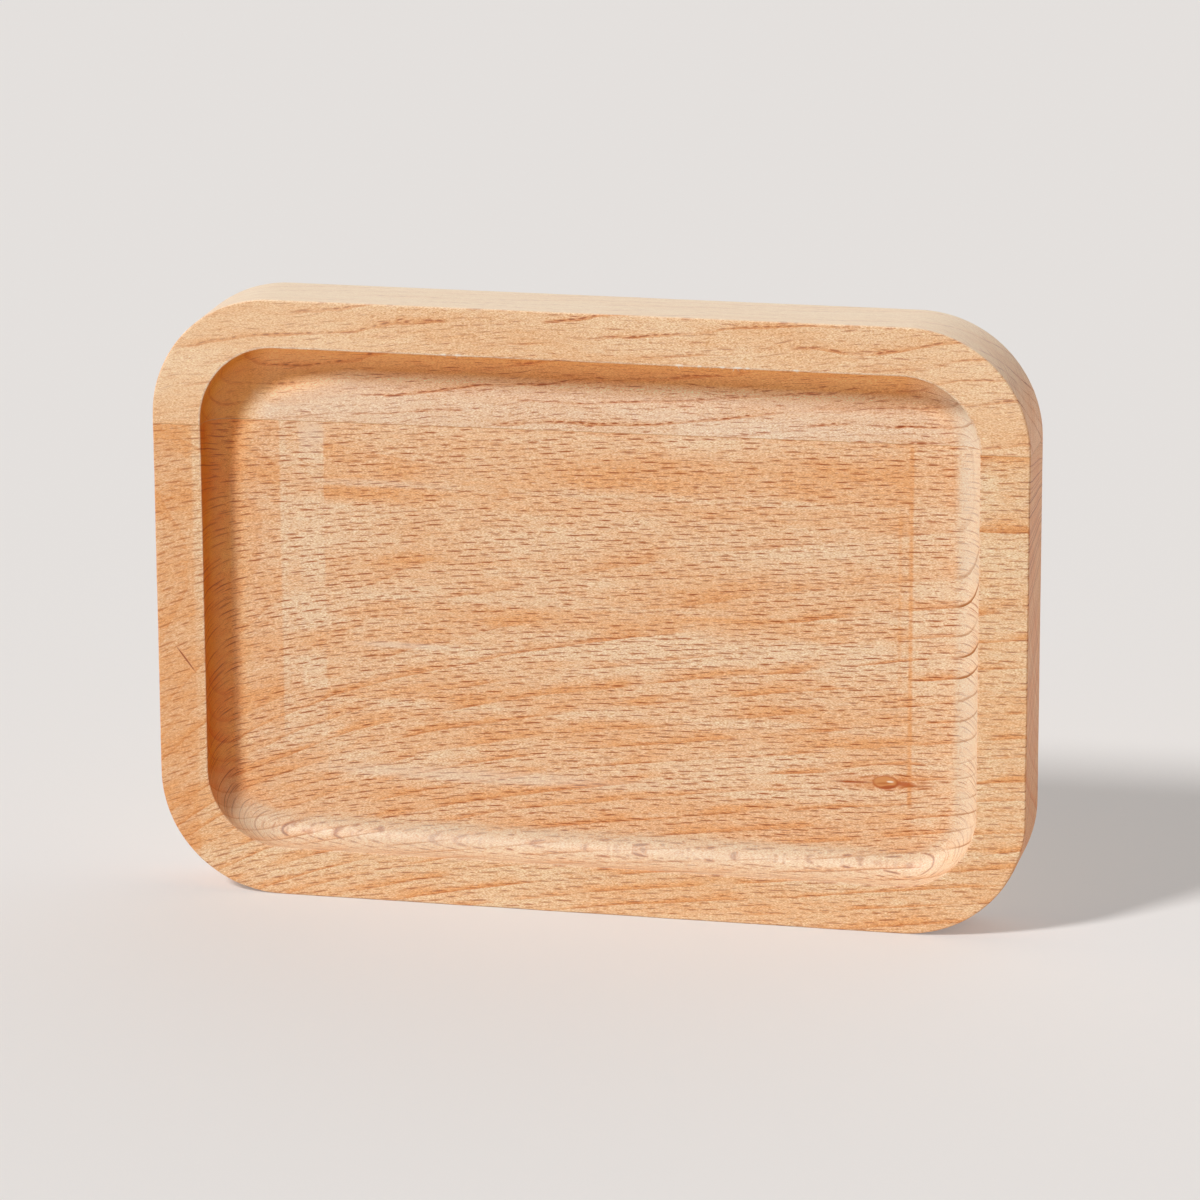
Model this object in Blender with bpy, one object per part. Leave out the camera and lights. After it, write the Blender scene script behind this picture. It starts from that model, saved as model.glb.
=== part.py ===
"""Candle tray of solid beech: two staves glued edge to edge, with a round-cornered pocket milled into one face.

The tray stands on a long edge. X runs along the grain, the pocket faces -Y, and Z is up.
Its origin is the middle of the edge that it stands on.
"""
import math

import bmesh
import bpy

MM = 0.001

# Driving dimensions of the finished tray
LENGTH = 215 * MM
HEIGHT = 150 * MM
THICKNESS = 20 * MM
CORNER_RADIUS = 30 * MM

# The pocket: the rim left round it, its corners in plan, its depth, and the cove that the cutter leaves at its foot
RIM_WIDTH = 12 * MM
POCKET_CORNER_RADIUS = 19 * MM
POCKET_DEPTH = 8 * MM
COVE_RADIUS = 6 * MM

# Sharp edges are only just taken off with sandpaper
OUTER_EASING = 0.5 * MM
POCKET_EASING = 0.3 * MM

# The glue joint: the upper stave's width at mid length, how far the joint climbs from left to right, and the glue film
UPPER_STAVE_WIDTH = 30.9 * MM
JOINT_RISE = 2 * MM
GLUE_THICKNESS = 0.15 * MM

# Segments in a quarter turn of each kind of round
CORNER_STEPS = 16
COVE_STEPS = 8
EASING_STEPS = 3

FRONT = -THICKNESS / 2
SHARP_ANGLE = math.radians(35)


def quarter_turn(steps):
    """Angles from 0 to a right angle."""
    return [math.pi / 2 * i / steps for i in range(steps + 1)]


def outer_profile():
    """Section of the outside, from the back face round its edges to the front face: (inset, corner radius, depth)."""
    ease = OUTER_EASING
    back = [(ease * (1 - math.sin(t)), THICKNESS - ease * (1 - math.cos(t))) for t in quarter_turn(EASING_STEPS)]
    front = [(ease * (1 - math.cos(t)), ease * (1 - math.sin(t))) for t in quarter_turn(EASING_STEPS)]
    return [(inset, CORNER_RADIUS - inset, depth) for inset, depth in back + front]


def pocket_profile():
    """Section of the pocket, from its eased lip down the wall and the cove to the floor: (inset, corner radius, depth)."""
    ease = POCKET_EASING
    cove = min(COVE_RADIUS, POCKET_DEPTH - ease, POCKET_CORNER_RADIUS)
    lip = [(RIM_WIDTH - ease * (1 - math.sin(t)), ease * (1 - math.cos(t))) for t in quarter_turn(EASING_STEPS)]
    foot = [
        (RIM_WIDTH + cove * (1 - math.cos(t)), POCKET_DEPTH - cove * (1 - math.sin(t)))
        for t in quarter_turn(COVE_STEPS)
    ]
    return [(inset, POCKET_CORNER_RADIUS + RIM_WIDTH - inset, depth) for inset, depth in lip + foot]


def ring_points(inset, radius, depth):
    """A rounded rectangle that lies inset from the tray's outline, at a depth below the front face."""
    half_length = LENGTH / 2 - inset - radius
    half_height = HEIGHT / 2 - inset - radius
    centres = [(1, 1), (-1, 1), (-1, -1), (1, -1)]
    points = []
    for quarter, (side, rise) in enumerate(centres):
        for turn in quarter_turn(CORNER_STEPS):
            angle = turn + quarter * math.pi / 2
            x = side * half_length + radius * math.cos(angle)
            z = HEIGHT / 2 + rise * half_height + radius * math.sin(angle)
            points.append((x, FRONT + depth, z))
    return points


def milled_blank():
    """The whole tray in one piece: rings of vertices from the back face, over the edges and down into the pocket."""
    mesh = bmesh.new()
    rings = [[mesh.verts.new(point) for point in ring_points(*row)] for row in outer_profile() + pocket_profile()]
    for outer, inner in zip(rings, rings[1:]):
        for i in range(len(outer)):
            j = (i + 1) % len(outer)
            mesh.faces.new((outer[i], outer[j], inner[j], inner[i]))
    mesh.faces.new(rings[0])
    mesh.faces.new(rings[-1])
    bmesh.ops.recalc_face_normals(mesh, faces=mesh.faces)
    return mesh


def saw(mesh, joint_height, keep):
    """Cuts the blank along the joint's plane, at a height at mid length, and closes the cut. keep is +1 above, -1 below."""
    tilt = math.atan2(JOINT_RISE, LENGTH)
    cut = bmesh.ops.bisect_plane(
        mesh,
        geom=mesh.verts[:] + mesh.edges[:] + mesh.faces[:],
        dist=0,
        plane_co=(0, 0, joint_height),
        plane_no=(keep * math.sin(tilt), 0, -keep * math.cos(tilt)),
        clear_outer=True,
    )
    edges = [item for item in cut["geom_cut"] if isinstance(item, bmesh.types.BMEdge)]
    bmesh.ops.edgeloop_fill(mesh, edges=edges)
    bmesh.ops.recalc_face_normals(mesh, faces=mesh.faces)


def finish(name, mesh, colour, roughness):
    """Turns the mesh into a named object with its own material, smooth but for its real edges."""
    bmesh.ops.triangulate(mesh, faces=mesh.faces)
    data = bpy.data.meshes.new(name)
    mesh.to_mesh(data)
    mesh.free()
    data.shade_smooth()
    data.set_sharp_from_angle(angle=SHARP_ANGLE)
    material = bpy.data.materials.new(name)
    material.use_nodes = True
    shader = material.node_tree.nodes["Principled BSDF"]
    shader.inputs["Base Color"].default_value = (*colour, 1)
    shader.inputs["Roughness"].default_value = roughness
    shader.inputs["Metallic"].default_value = 0
    data.materials.append(material)
    piece = bpy.data.objects.new(name, data)
    bpy.context.scene.collection.objects.link(piece)
    return piece


def upper_stave():
    """The narrow stave above the joint, paler than its neighbour."""
    mesh = milled_blank()
    saw(mesh, HEIGHT - UPPER_STAVE_WIDTH, keep=1)
    return finish("upper_stave", mesh, (0.78, 0.53, 0.32), 0.5)


def lower_stave():
    """The wide stave below the joint, with most of the pocket."""
    mesh = milled_blank()
    saw(mesh, HEIGHT - UPPER_STAVE_WIDTH - GLUE_THICKNESS, keep=-1)
    return finish("lower_stave", mesh, (0.74, 0.44, 0.23), 0.5)


def glue_line():
    """The cured wood glue between the staves, flush with them all round."""
    mesh = milled_blank()
    saw(mesh, HEIGHT - UPPER_STAVE_WIDTH, keep=-1)
    saw(mesh, HEIGHT - UPPER_STAVE_WIDTH - GLUE_THICKNESS, keep=1)
    return finish("glue_line", mesh, (0.42, 0.24, 0.11), 0.4)


for leftover in list(bpy.data.objects):
    bpy.data.objects.remove(leftover)
upper_stave()
lower_stave()
glue_line()
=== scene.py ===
"""Looks of the beech candle tray: a board glued up from two staves, with a pocket milled into its face.

The tray stands on a long edge. X runs along the grain, the pocket faces -Y, and Z is up. Lengths are in
metres, written in millimetres times MM, except inside the wood's shader, which works in millimetres.
"""
import math

import bmesh
import bpy
from mathutils import Euler, Matrix, Vector, noise


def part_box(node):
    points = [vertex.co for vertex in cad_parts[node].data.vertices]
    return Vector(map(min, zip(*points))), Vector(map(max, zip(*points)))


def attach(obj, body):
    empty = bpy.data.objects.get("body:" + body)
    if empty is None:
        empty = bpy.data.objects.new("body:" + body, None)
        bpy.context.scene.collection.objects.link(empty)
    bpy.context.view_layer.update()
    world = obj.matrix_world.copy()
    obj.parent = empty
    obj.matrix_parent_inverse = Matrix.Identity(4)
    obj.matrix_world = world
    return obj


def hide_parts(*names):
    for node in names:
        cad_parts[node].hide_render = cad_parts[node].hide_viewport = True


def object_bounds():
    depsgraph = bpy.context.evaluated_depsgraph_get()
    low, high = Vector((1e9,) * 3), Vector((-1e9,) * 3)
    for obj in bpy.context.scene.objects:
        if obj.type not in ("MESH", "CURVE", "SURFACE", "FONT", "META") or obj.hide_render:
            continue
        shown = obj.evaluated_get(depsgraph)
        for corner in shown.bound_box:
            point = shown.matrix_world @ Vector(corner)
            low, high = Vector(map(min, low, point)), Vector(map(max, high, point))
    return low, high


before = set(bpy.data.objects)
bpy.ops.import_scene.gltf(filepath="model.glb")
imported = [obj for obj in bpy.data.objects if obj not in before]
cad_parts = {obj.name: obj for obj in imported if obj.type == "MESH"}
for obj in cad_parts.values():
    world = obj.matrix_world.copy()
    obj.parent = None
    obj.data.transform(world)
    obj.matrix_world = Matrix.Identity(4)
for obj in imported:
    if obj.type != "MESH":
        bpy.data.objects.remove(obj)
cad_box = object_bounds()

MM = 0.001

# The view: a long lens a step to the right of the tray and a little above it, aimed at the middle of its
# face, and rolled by a hair, as a camera on a tripod is.
VIEW_AZIMUTH = math.radians(12.55)
VIEW_ELEVATION = math.radians(15.25)
VIEW_ROLL = math.radians(-0.28)
VIEW_DISTANCE = 1474.6 * MM
VIEW_AIM = Vector((3.55, -10, 79.56)) * MM
LENS_MM = 183.9
SENSOR_MM = 36

lens = bpy.data.cameras.new("long_lens")
lens.lens = LENS_MM
lens.sensor_width = SENSOR_MM
camera = bpy.data.objects.new("camera", lens)
tilt = Euler((math.pi / 2 - VIEW_ELEVATION, 0, VIEW_AZIMUTH)).to_matrix()
turned = tilt @ Matrix.Rotation(VIEW_ROLL, 3, "Z")
stand = VIEW_AIM + turned @ Vector((0, 0, VIEW_DISTANCE))
camera.matrix_world = Matrix.Translation(stand) @ turned.to_4x4()
scene = bpy.context.scene
scene.collection.objects.link(camera)
scene.camera = camera
scene.view_settings.view_transform = "Standard"

# The floor: one sheet of pale warm grey card, matt, wide enough to fill the view, under the edge that the
# tray stands on. It takes the tray's shadow. WHITENED is the share of its own plain colour that shows in it
# whatever light falls there, so that the ground stays as pale as a studio's.
FLOOR_HALF_WIDTH = 6
CARD_GREY = "#EFEBE8"
WHITENED = 0.26


def from_hex(colour):
    """An sRGB hex colour as the linear values that a shader takes."""
    shares = [int(colour[i : i + 2], 16) / 255 for i in (1, 3, 5)]
    return [s / 12.92 if s <= 0.04045 else ((s + 0.055) / 1.055) ** 2.4 for s in shares] + [1]


def add(tree, kind, settings, inputs):
    """Adds a node. settings are its properties, and inputs are values, nodes (their first output) or
    outputs."""
    made = tree.nodes.new("ShaderNode" + kind)
    for name, value in settings.items():
        setattr(made, name, value)
    for name, value in inputs.items():
        if isinstance(value, bpy.types.Node):
            value = value.outputs[0]
        if isinstance(value, bpy.types.NodeSocket):
            tree.links.new(value, made.inputs[name])
        else:
            made.inputs[name].default_value = value
    return made


# What arithmetic nodes do, by plain names
TIMES = {"operation": "MULTIPLY"}
PLUS = {"operation": "ADD"}
MINUS = {"operation": "SUBTRACT"}
TIMES_PLUS = {"operation": "MULTIPLY_ADD"}
LARGER = {"operation": "MAXIMUM"}
LENGTH_OF = {"operation": "LENGTH"}


def looked_at(tree):
    """1 for a ray from the camera, by way of gloss or glass too, and 0 for one that gathers light."""
    ray = add(tree, "LightPath", {}, {})
    either = {0: ray.outputs["Is Camera Ray"], 1: ray.outputs["Is Glossy Ray"]}
    straight = add(tree, "Math", LARGER, either)
    return add(tree, "Math", LARGER, {0: straight, 1: ray.outputs["Is Transmission Ray"]})


def new_material(name):
    """A new material, with its tree of nodes and its shader."""
    made = bpy.data.materials.new(name)
    made.use_nodes = True
    return made, made.node_tree, made.node_tree.nodes["Principled BSDF"]


# Matt card: paper fibres scatter the light evenly, with no gloss at all
card, sheet_tree, matt = new_material("matt_grey_card")
matt.inputs["Base Color"].default_value = from_hex(CARD_GREY)
matt.inputs["Roughness"].default_value = 0.9
matt.inputs["Specular IOR Level"].default_value = 0
share = add(sheet_tree, "Math", TIMES, {0: looked_at(sheet_tree), 1: WHITENED})
plain = add(sheet_tree, "Emission", {}, {"Color": from_hex(CARD_GREY), "Strength": 1})
whitened = add(sheet_tree, "MixShader", {}, {0: share, 1: matt.outputs[0], 2: plain})
sheet_tree.links.new(whitened.outputs[0], sheet_tree.nodes["Material Output"].inputs["Surface"])

sheet = bmesh.new()
bmesh.ops.create_grid(sheet, x_segments=1, y_segments=1, size=FLOOR_HALF_WIDTH)
floor_mesh = bpy.data.meshes.new("floor")
sheet.to_mesh(floor_mesh)
sheet.free()
floor_mesh.materials.append(card)
floor = bpy.data.objects.new("floor", floor_mesh)
floor.location.z = cad_box[0].z
scene.collection.objects.link(floor)

# The light: a dim white room with a bright wall behind the tray, and one soft lamp in front of it, high on
# the left. Levels are shares of full white: a white card that faces the lamp renders at LAMP_LEVEL by the
# lamp alone. BACKDROP_GREY is what shows past the far edge of the floor.
BACKDROP_GREY = "#E1DDDA"
ROOM_LEVEL = 0.14
WALL_LEVEL = 0.95
WALL_AT = (0.3, 0.95, 0)
SMOOTH = {"interpolation_type": "SMOOTHSTEP"}
LAMP_LEVEL = 0.79
LAMP_FROM = Vector((-0.83, -1, 1.17))
LAMP_SOFTNESS = math.radians(10)

room = bpy.data.worlds.new("white_room")
room.use_nodes = True
air = room.node_tree
air.nodes.clear()
direction = add(air, "TexCoord", {}, {}).outputs["Generated"]
facing = add(air, "VectorMath", {"operation": "DOT_PRODUCT"}, {0: direction, 1: WALL_AT})
to_wall = {"Value": facing.outputs["Value"], "From Min": 0}
level = add(air, "MapRange", SMOOTH, {**to_wall, "To Min": ROOM_LEVEL, "To Max": ROOM_LEVEL + WALL_LEVEL})
fill = add(air, "Background", {}, {"Color": (1, 1, 1, 1), "Strength": level})
backdrop = add(air, "Background", {}, {"Color": from_hex(BACKDROP_GREY), "Strength": 1})
whole_room = add(air, "MixShader", {}, {0: looked_at(air), 1: fill, 2: backdrop})
add(air, "OutputWorld", {}, {"Surface": whole_room})
scene.world = room

far_lamp = bpy.data.lights.new("soft_lamp", "SUN")
far_lamp.energy = LAMP_LEVEL * math.pi
far_lamp.angle = LAMP_SOFTNESS
lamp = bpy.data.objects.new("soft_lamp", far_lamp)
lamp.rotation_mode = "QUATERNION"
lamp.rotation_quaternion = LAMP_FROM.to_track_quat("Z", "Y")
scene.collection.objects.link(lamp)

# The upper stave: the narrow, paler length of beech above the glue joint, flat-sawn, with wavy growth
# rings. It was glued to its neighbour as a plank, then the board was milled to its outline and pocket, and
# sanded.
LENGTH = cad_box[1].x - cad_box[0].x
THICKNESS = cad_box[1].y - cad_box[0].y
HEIGHT = cad_box[1].z - cad_box[0].z
FRONT = cad_box[0].y
OUTER_CORNER = 30 * MM
RIM = 12 * MM
POCKET_CORNER = 19 * MM
POCKET_DEPTH = 8 * MM
COVE = 6 * MM
ARRIS = 0.5 * MM
LIP = 0.3 * MM
POINT_SPACING = 1.2 * MM
CORNER_STEPS = 32
COVE_STEPS = 20
EASING_STEPS = 4
SHARP_FROM = math.radians(35)

# Where the board's face and the pocket's floor lie, and its left end, in mm for the shader
FACE_Y = FRONT / MM
FLOOR_Y = (FRONT + POCKET_DEPTH) / MM
LEFT_END = -LENGTH / 2 / MM

# How unevenly sandpaper takes the edges off: a long sway and a short ripple, as shares of the easing
SWAY_LENGTH = 14 * MM
SWAY_SHARE = 0.35
RIPPLE_LENGTH = 2.2 * MM
RIPPLE_SHARE = 0.3

# The cutter's passes across the pocket floor: their pitch down from the first, the area that they cover,
# and the step from one pass to the next
PASS_PITCH = 14.3 * MM
FIRST_PASS = 117.3 * MM
PASS_COUNT = 6
PASS_LEFT = -66.9 * MM
PASS_RIGHT = 77.5 * MM
TURN_LEFT = -77.9 * MM
PASS_STEP = 0.04 * MM
STEP_RUN = 0.3 * MM


def quarter_turn(steps):
    """Angles from 0 to a right angle."""
    return [math.pi / 2 * i / steps for i in range(steps + 1)]


def milled_section():
    """The board's section from the back face to the pocket's foot: for each ring of points, the sharp
    corner that it eases (inset, depth), and where it lies from that corner."""
    turn = quarter_turn(EASING_STEPS)
    back = [((0, THICKNESS), (ARRIS * (1 - math.sin(t)), -ARRIS * (1 - math.cos(t)))) for t in turn]
    front = [((0, 0), (ARRIS * (1 - math.cos(t)), ARRIS * (1 - math.sin(t)))) for t in turn]
    lip = [((RIM, 0), (-LIP * (1 - math.sin(t)), LIP * (1 - math.cos(t)))) for t in turn]
    foot = [
        ((RIM + COVE * (1 - math.cos(t)), POCKET_DEPTH - COVE * (1 - math.sin(t))), (0, 0))
        for t in quarter_turn(COVE_STEPS)
    ]
    return back + front + lip + foot


def outline(inset):
    """Points round a rounded rectangle that lies inset from the board's outline, as (x, z), each with the
    direction in which a larger inset moves it."""
    radius = OUTER_CORNER - inset if inset < RIM / 2 else POCKET_CORNER + RIM - inset
    half_length = LENGTH / 2 - inset - radius
    half_height = HEIGHT / 2 - inset - radius
    corners = [(1, 1), (-1, 1), (-1, -1), (1, -1)]
    points = []
    for quarter, (side, rise) in enumerate(corners):
        centre = Vector((side * half_length, HEIGHT / 2 + rise * half_height))
        for turn in quarter_turn(CORNER_STEPS):
            angle = turn + quarter * math.pi / 2
            out = Vector((math.cos(angle), math.sin(angle)))
            points.append((centre + out * radius, -out))
        side_next, rise_next = corners[(quarter + 1) % 4]
        start = points[-1][0]
        end = Vector((side_next * half_length, HEIGHT / 2 + rise_next * half_height)) + out * radius
        run = LENGTH if quarter % 2 == 0 else HEIGHT
        count = round((run - 2 * OUTER_CORNER) / POINT_SPACING)
        points += [(start.lerp(end, i / count), -out) for i in range(1, count)]
    return points


def hand_sanded(point):
    """How much more or less than its nominal size an edge is eased at a point."""
    sway = noise.noise(Vector((point.x, 0, point.y)) / SWAY_LENGTH)
    ripple = noise.noise(Vector((point.x, 1, point.y)) / RIPPLE_LENGTH)
    return 1 + SWAY_SHARE * sway + RIPPLE_SHARE * ripple


def pass_step(x, z):
    """How much deeper the cutter went at a point of the pocket floor."""
    level = math.floor((FIRST_PASS - z) / PASS_PITCH)
    if not (TURN_LEFT < x < PASS_RIGHT and 0 <= level < PASS_COUNT):
        return 0
    if x < PASS_LEFT:
        return PASS_STEP
    return -PASS_STEP if level % 2 else -PASS_STEP / 2


def milled_board():
    """The whole board as one closed mesh, with eased edges and the cutter's steps in the pocket floor."""
    mesh = bmesh.new()
    rings = []
    for (inset, depth), (ease_in, ease_down) in milled_section():
        ring = []
        for point, inward in outline(inset):
            eased = hand_sanded(point)
            place = point + inward * ease_in * eased
            ring.append(mesh.verts.new((place.x, FRONT + depth + ease_down * eased, place.y)))
        rings.append(ring)
    for outer, inner in zip(rings, rings[1:]):
        for i in range(len(outer)):
            j = (i + 1) % len(outer)
            mesh.faces.new((outer[i], outer[j], inner[j], inner[i]))
    mesh.faces.new(rings[0])
    mesh.faces.new(rings[-1])
    bmesh.ops.recalc_face_normals(mesh, faces=mesh.faces)

    floor_level = FRONT + POCKET_DEPTH
    near = STEP_RUN / 100
    edges_of_passes = [(FIRST_PASS - k * PASS_PITCH, Vector((0, 0, 1))) for k in range(PASS_COUNT + 1)]
    edges_of_passes += [(x, Vector((1, 0, 0))) for x in (TURN_LEFT, PASS_LEFT, PASS_RIGHT)]
    for place, across in edges_of_passes:
        for side in (-1, 1):
            milled = [f for f in mesh.faces if all(abs(v.co.y - floor_level) < near for v in f.verts)]
            bmesh.ops.bisect_plane(
                mesh,
                geom=list({part for f in milled for part in [f, *f.edges, *f.verts]}),
                dist=0,
                plane_co=across * (place + side * STEP_RUN / 2),
                plane_no=across,
            )
    for vert in mesh.verts:
        if abs(vert.co.y - floor_level) < near:
            vert.co.y += pass_step(vert.co.x, vert.co.z)
    return mesh


def saw(mesh, left_height, right_height, keep):
    """Cuts the board along the glue joint's plane and closes the cut. keep is +1 to keep what is above, -1
    below."""
    climb = math.atan2(right_height - left_height, LENGTH)
    cut = bmesh.ops.bisect_plane(
        mesh,
        geom=mesh.verts[:] + mesh.edges[:] + mesh.faces[:],
        dist=0,
        plane_co=(0, 0, (left_height + right_height) / 2),
        plane_no=(keep * math.sin(climb), 0, -keep * math.cos(climb)),
        clear_outer=True,
    )
    rim_of_cut = [part for part in cut["geom_cut"] if isinstance(part, bmesh.types.BMEdge)]
    bmesh.ops.edgeloop_fill(mesh, edges=rim_of_cut)
    bmesh.ops.recalc_face_normals(mesh, faces=mesh.faces)


def show(name, mesh, material, node):
    """Puts a finished mesh in the scene, in a node's place if it has one, smooth but for its sawn and
    milled edges."""
    data = bpy.data.meshes.new(name)
    mesh.to_mesh(data)
    mesh.free()
    data.shade_smooth()
    data.set_sharp_from_angle(angle=SHARP_FROM)
    data.materials.append(material)
    piece = bpy.data.objects.new(name, data)
    scene.collection.objects.link(piece)
    flat_faces_lead = piece.modifiers.new("flat_faces_lead", "WEIGHTED_NORMAL")
    flat_faces_lead.keep_sharp = True
    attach(piece, "root")
    if node:
        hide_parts(node)
    return piece


def all_of(tree, first, *others):
    """Shares from 0 to 1, multiplied: how far all of them hold at once."""
    for other in others:
        first = add(tree, "Math", TIMES, {0: first, 1: other})
    return first


def band(tree, value, low, high, blur):
    """1 where a value lies between low and high and 0 outside them, with edges that are blur wide."""
    rise = {"Value": value, "From Min": low - blur / 2, "From Max": low + blur / 2}
    fall = {"Value": value, "From Min": high + blur / 2, "From Max": high - blur / 2}
    above_low = add(tree, "MapRange", SMOOTH, rise)
    below_high = add(tree, "MapRange", SMOOTH, fall)
    return all_of(tree, above_low, below_high)


def tint(tree, share, under, over, blend="MIX"):
    """Lays a colour over another by a share."""
    settings = {"data_type": "RGBA", "blend_type": blend}
    return add(tree, "Mix", settings, {"Factor": share, "A": under, "B": over}).outputs["Result"]


def drawn_out(tree, grain, size, detail, roughness=0.5):
    """Uneven patches drawn out along the grain. size is their length and their thickness in mm."""
    along, across = size
    scaled = add(tree, "VectorMath", TIMES, {0: grain, 1: (1 / along, 1 / across, 1 / across)})
    return add(
        tree, "TexNoise", {}, {"Vector": scaled, "Scale": 1, "Detail": detail, "Roughness": roughness}
    )


def draw_curve(node, points):
    """Draws a curve node's curve through points, straight from each to the next. They run from 0 to 1 along
    it."""
    curve = node.mapping.curves[0]
    curve.points[0].location.y = points[0][1]
    curve.points[-1].location.y = points[-1][1]
    for along, up in points[1:-1]:
        curve.points.new(along, up)
    for point in curve.points:
        point.handle_type = "VECTOR"
    node.mapping.update()


# Where along the board the pith has bent by its whole bend, how soon the bend fades to the right of that,
# how long and how far apart the darker stretches of a ring are, and the share of a year at which its
# closing line sets in
BEND_AT = -100
BEND_RUN = 40
STRETCH_LENGTH = 18
STRETCH_APART = 2.4
YEAR_END = (0.86, 0.93)


def growth_rings(tree, at, pith, years, late_from):
    """Growth rings round the pith, a line that climbs along the board and bends towards its face at the
    left end: pith is its height, its climb, its depth and its bend, and years lists each ring's outer
    radius and how dark its late wood is. late_from is how steeply the wood darkens towards the year's end.
    Returns how late in its year the wood grew times that darkness, the thin line that ends each year, the
    year, its darkness, and the height above the pith."""
    height, climb, depth, bend = pith
    past_bend = {0: at.outputs["X"], 1: -1 / BEND_RUN, 2: BEND_AT / BEND_RUN}
    along = add(tree, "Math", TIMES_PLUS, past_bend)
    near_end = add(tree, "Math", {"operation": "EXPONENT"}, {0: along})
    pith_y = add(tree, "Math", TIMES_PLUS, {0: near_end, 1: -bend, 2: depth})
    pith_z = add(tree, "Math", TIMES_PLUS, {0: at.outputs["X"], 1: climb, 2: height})
    behind = add(tree, "Math", MINUS, {0: pith_y, 1: at.outputs["Y"]})
    above = add(tree, "Math", MINUS, {0: at.outputs["Z"], 1: pith_z})
    section = add(tree, "CombineXYZ", {}, {"Y": behind, "Z": above})
    radius = add(tree, "VectorMath", LENGTH_OF, {0: section}).outputs["Value"]
    inner, outer = years[0][0], years[-1][0]
    last = len(years) - 1
    share = add(tree, "MapRange", {}, {"Value": radius, "From Min": inner, "From Max": outer})
    calendar = add(tree, "FloatCurve", {}, {"Value": share})
    ends = [(edge - inner) / (outer - inner) for edge, _ in years]
    draw_curve(calendar, [(end, count / last) for count, end in enumerate(ends)])
    year = add(tree, "Math", TIMES, {0: calendar, 1: last})
    season = add(tree, "Math", {"operation": "FRACT"}, {0: year})
    darkness = add(tree, "ValToRGB", {}, {0: calendar})
    darkness.color_ramp.interpolation = "CONSTANT"
    stops = darkness.color_ramp.elements
    for count, (_, dark) in enumerate(years[1:]):
        stop = stops[0] if count == 0 else stops.new(count / last)
        stop.color = (dark, dark, dark, 1)
    stops[last].color = (0.5, 0.5, 0.5, 1)

    # A ring is darker in some stretches than in others
    stretch = add(tree, "CombineXYZ", {}, {"X": at.outputs["X"], "Y": radius})
    stretched = add(tree, "VectorMath", TIMES, {0: stretch, 1: (1 / STRETCH_LENGTH, 1 / STRETCH_APART, 0)})
    uneven = add(
        tree, "TexNoise", {"noise_dimensions": "2D"}, {"Vector": stretched, "Scale": 1, "Detail": 1}
    )
    to_strength = {"Value": uneven, "From Min": 0.36, "From Max": 0.64, "To Min": 0.1, "To Max": 1.2}
    strength = add(tree, "MapRange", {}, to_strength)
    dark = add(tree, "Math", TIMES, {0: darkness, 1: strength})
    autumn = add(tree, "Math", {"operation": "POWER"}, {0: season, 1: late_from})
    frost = add(tree, "MapRange", {}, {"Value": season, "From Min": YEAR_END[0], "From Max": YEAR_END[1]})
    late = all_of(tree, autumn, dark)
    line = all_of(tree, frost, dark)
    line.name = "year ends"
    return late, line, year, dark, above


# How a fleck is drawn, in shares of its own half size: it is whole within the first of FLECK and gone at
# the second, and the tan that surrounds it, within the first of HALO and at the second. DEEPEN draws faint
# flecks fainter still.
FLECK = (0.7, 1.1)
HALO = (0.9, 2)
DEEPEN = 1.3


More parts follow.
